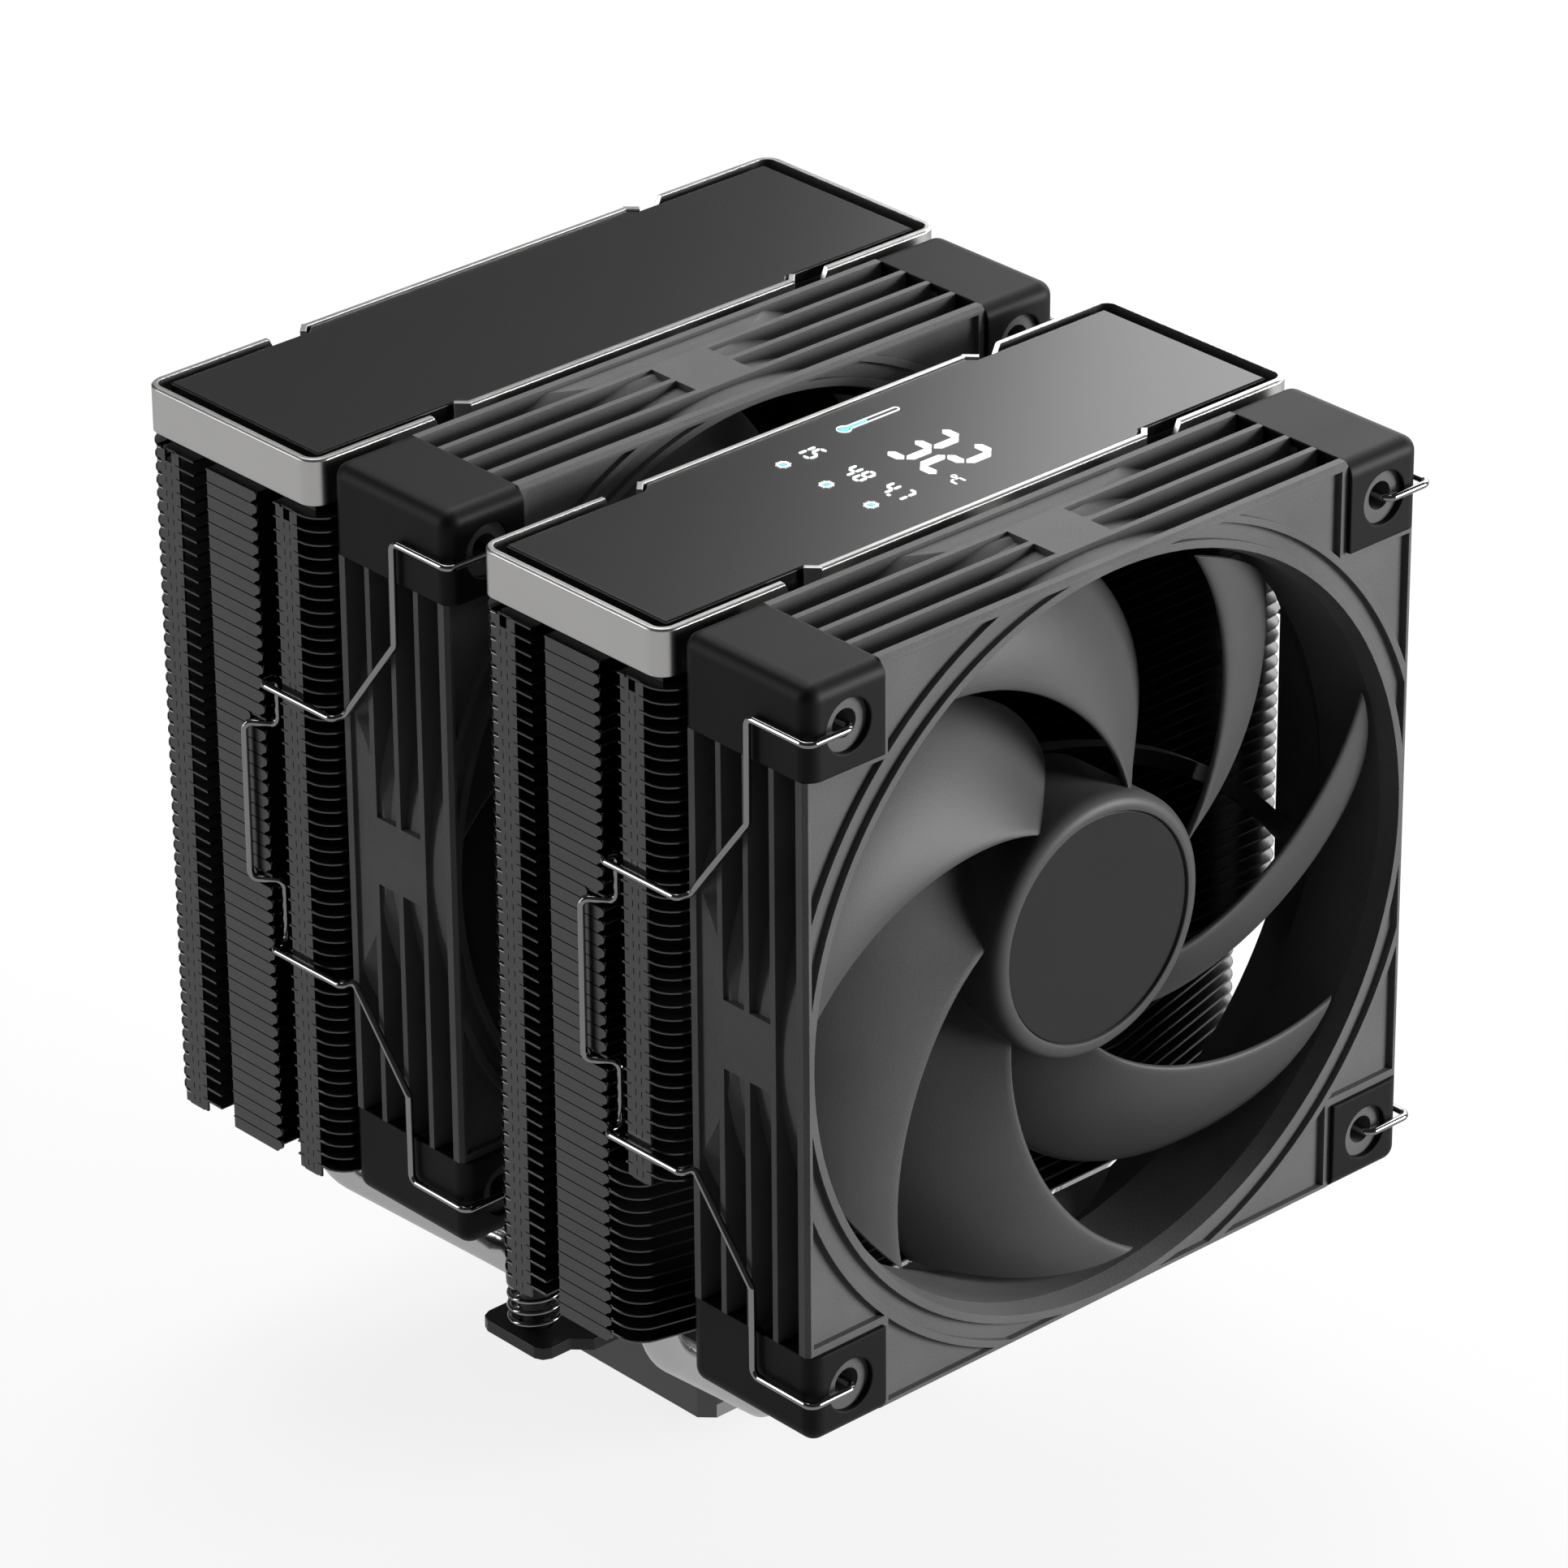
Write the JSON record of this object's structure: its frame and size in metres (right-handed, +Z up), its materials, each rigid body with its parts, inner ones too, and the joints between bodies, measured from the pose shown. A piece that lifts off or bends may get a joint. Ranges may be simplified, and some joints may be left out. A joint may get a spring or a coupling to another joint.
{
  "type": "cpu tower cooler",
  "caption": "Dual-tower processor heatsink with two framed fans, bent heat pipes, black fins, spring clips, captive sprung screws and metal-rimmed top covers, one with a lit readout.",
  "frame": {"origin": "centre of the cold plate's lower face, which sits on the processor", "axes": "+Z up away from the processor, -Y the way the front fan faces, +X to the right seen from the front fan"},
  "size_m": [0.1268, 0.1439, 0.1604],
  "materials": {
    "nickel_plate": "nickel-plated copper, fine machined finish",
    "base_nickel": "nickel-plated, satin",
    "pipe_nickel": "nickel-plated copper, satin",
    "black_steel": "black coating, fine texture",
    "screw_steel": "bright steel",
    "black_screw": "black oxide",
    "spring_steel": "bright spring wire",
    "black_fins": "black-coated aluminium, satin",
    "satin_band": "satin silver with bright bevel",
    "gloss_plate": "smoked glossy panel",
    "black_plastic": "moulded, fine grain",
    "magnet": "plated magnet",
    "circuit_board": "solder mask",
    "socket_metal": "formed steel shell",
    "display_light": "lit figures",
    "display_cyan": "lit marks",
    "fan_plastic": "moulded, fine grain",
    "pad_rubber": "smooth soft rubber",
    "bearing_bronze": "sintered bronze",
    "core_steel": "laminated steel",
    "copper_wire": "enamelled copper windings",
    "rotor_plastic": "moulded, satin",
    "hub_disc": "plain disc, satin",
    "clip_plastic": "nylon",
    "chrome_wire": "bright plated wire"
  },
  "bodies": {
    "cooler": {"cold_plate": "nickel_plate", "base_block": "base_nickel", "heat_pipe_1": "pipe_nickel", "heat_pipe_2": "pipe_nickel", "heat_pipe_3": "pipe_nickel", "heat_pipe_4": "pipe_nickel", "heat_pipe_5": "pipe_nickel", "heat_pipe_6": "pipe_nickel", "mounting_bar": "black_steel", "bar_screws": "screw_steel", "front_fin_stack": "black_fins", "rear_fin_stack": "black_fins", "front_cover_band": "satin_band", "front_top_plate": "gloss_plate", "front_cover_tray": "black_plastic", "front_cover_magnets": "magnet", "rear_cover_band": "satin_band", "rear_top_plate": "gloss_plate", "rear_cover_tray": "black_plastic", "rear_cover_magnets": "magnet", "display_board": "circuit_board", "display_socket": "socket_metal", "display_figures": "display_light", "display_marks": "display_cyan", "front_fan_frame": "fan_plastic", "front_fan_corner_pads": "pad_rubber", "front_fan_bearing_sleeve": "bearing_bronze", "front_fan_stator_core": "core_steel", "front_fan_stator_coils": "copper_wire", "front_fan_motor_board": "circuit_board", "middle_fan_frame": "fan_plastic", "middle_fan_corner_pads": "pad_rubber", "middle_fan_bearing_sleeve": "bearing_bronze", "middle_fan_stator_core": "core_steel", "middle_fan_stator_coils": "copper_wire", "middle_fan_motor_board": "circuit_board", "left_screw_spring": "spring_steel", "right_screw_spring": "spring_steel"},
    "front_fan_rotor_body": {"front_fan_rotor": "rotor_plastic", "front_fan_hub_disc": "hub_disc", "front_fan_motor_yoke": "core_steel", "front_fan_magnet_ring": "magnet", "front_fan_shaft": "screw_steel", "front_fan_shaft_clip": "clip_plastic"},
    "middle_fan_rotor_body": {"middle_fan_rotor": "rotor_plastic", "middle_fan_hub_disc": "hub_disc", "middle_fan_motor_yoke": "core_steel", "middle_fan_magnet_ring": "magnet", "middle_fan_shaft": "screw_steel", "middle_fan_shaft_clip": "clip_plastic"},
    "front_left_wire": {"front_left_clip": "chrome_wire"},
    "front_right_wire": {"front_right_clip": "chrome_wire"},
    "middle_left_wire": {"middle_left_clip": "chrome_wire"},
    "middle_right_wire": {"middle_right_clip": "chrome_wire"},
    "left_screw_carrier": {"left_retaining_ring": "screw_steel"},
    "left_screw": {"left_mounting_screw": "black_screw"},
    "right_screw_carrier": {"right_retaining_ring": "screw_steel"},
    "right_screw": {"right_mounting_screw": "black_screw"}
  },
  "joints": [
    {"name": "front_fan_spin", "type": "hinge", "parent": "cooler", "child": "front_fan_rotor_body", "pos_m": [0, -0.0715, 0.1004], "axis": [0, 1, 0], "continuous": true},
    {"name": "middle_fan_spin", "type": "hinge", "parent": "cooler", "child": "middle_fan_rotor_body", "pos_m": [0, 0.0036, 0.1004], "axis": [0, 1, 0], "continuous": true},
    {"name": "front_left_clip_swing", "type": "hinge", "parent": "cooler", "child": "front_left_wire", "pos_m": [-0.0525, -0.0835, 0.0991], "axis": [0, 0, 1], "range_deg": [0, 20]},
    {"name": "front_right_clip_swing", "type": "hinge", "parent": "cooler", "child": "front_right_wire", "pos_m": [0.0525, -0.0835, 0.0991], "axis": [0, 0, -1], "range_deg": [0, 20]},
    {"name": "middle_left_clip_swing", "type": "hinge", "parent": "cooler", "child": "middle_left_wire", "pos_m": [-0.0525, -0.0084, 0.0991], "axis": [0, 0, 1], "range_deg": [0, 20]},
    {"name": "middle_right_clip_swing", "type": "hinge", "parent": "cooler", "child": "middle_right_wire", "pos_m": [0.0525, -0.0084, 0.0991], "axis": [0, 0, -1], "range_deg": [0, 20]},
    {"name": "left_screw_press", "type": "slide", "parent": "cooler", "child": "left_screw_carrier", "axis": [0, 0, 1], "range_m": [-0.003, 0], "stiffness_N_per_m": 600, "springref_m": 0.002, "deforming": ["left_screw_spring"]},
    {"name": "left_screw_turn", "type": "hinge", "parent": "left_screw_carrier", "child": "left_screw", "pos_m": [-0.0392, 0, 0.0131], "axis": [0, 0, 1], "continuous": true},
    {"name": "right_screw_press", "type": "slide", "parent": "cooler", "child": "right_screw_carrier", "axis": [0, 0, 1], "range_m": [-0.003, 0], "stiffness_N_per_m": 600, "springref_m": 0.002, "deforming": ["right_screw_spring"]},
    {"name": "right_screw_turn", "type": "hinge", "parent": "right_screw_carrier", "child": "right_screw", "pos_m": [0.0392, 0, 0.0131], "axis": [0, 0, 1], "continuous": true}
  ]
}
